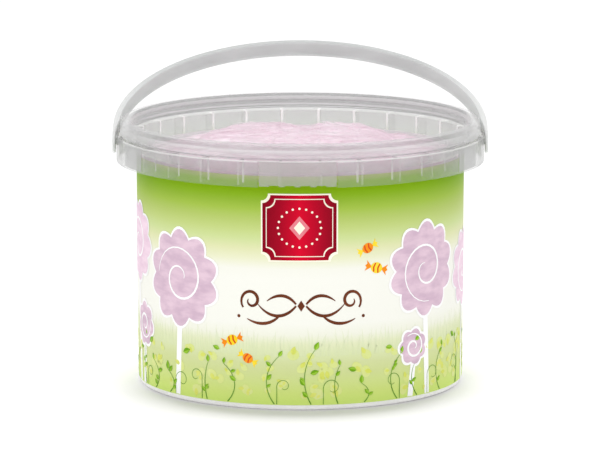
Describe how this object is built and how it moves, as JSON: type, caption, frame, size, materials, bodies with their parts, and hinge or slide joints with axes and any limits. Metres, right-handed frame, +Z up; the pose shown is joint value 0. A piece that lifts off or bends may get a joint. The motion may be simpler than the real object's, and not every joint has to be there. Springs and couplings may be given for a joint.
{
  "type": "pail of cotton candy",
  "caption": "Round translucent snap-lid pail with a swinging bail handle and a printed sleeve label, filled with pink cotton candy.",
  "frame": {"origin": "centre of the pail's flat base", "axes": "+Z up along the pail's axis, -Y to the front where the tear tab is, +X to the right, the handle's pivot line along X"},
  "size_m": [0.1358, 0.1381, 0.1147],
  "materials": {
    "pail_plastic": "natural translucent plastic, moulded, satin",
    "lid_plastic": "natural translucent plastic, moulded, satin",
    "handle_plastic": "natural translucent plastic, moulded, satin",
    "label_film": "opaque printed film, semi-gloss",
    "spun_sugar": "fluffy spun sugar, matte"
  },
  "bodies": {
    "pail": {"pail": "pail_plastic", "tear_tab": "pail_plastic", "lid": "lid_plastic", "label": "label_film", "cotton_candy": "spun_sugar"},
    "handle": {"handle": "handle_plastic"}
  },
  "joints": [
    {"name": "handle_swing", "type": "hinge", "parent": "pail", "child": "handle", "pos_m": [0, 0, 0.0871], "axis": [1, 0, 0], "range_deg": [0, 141]}
  ]
}
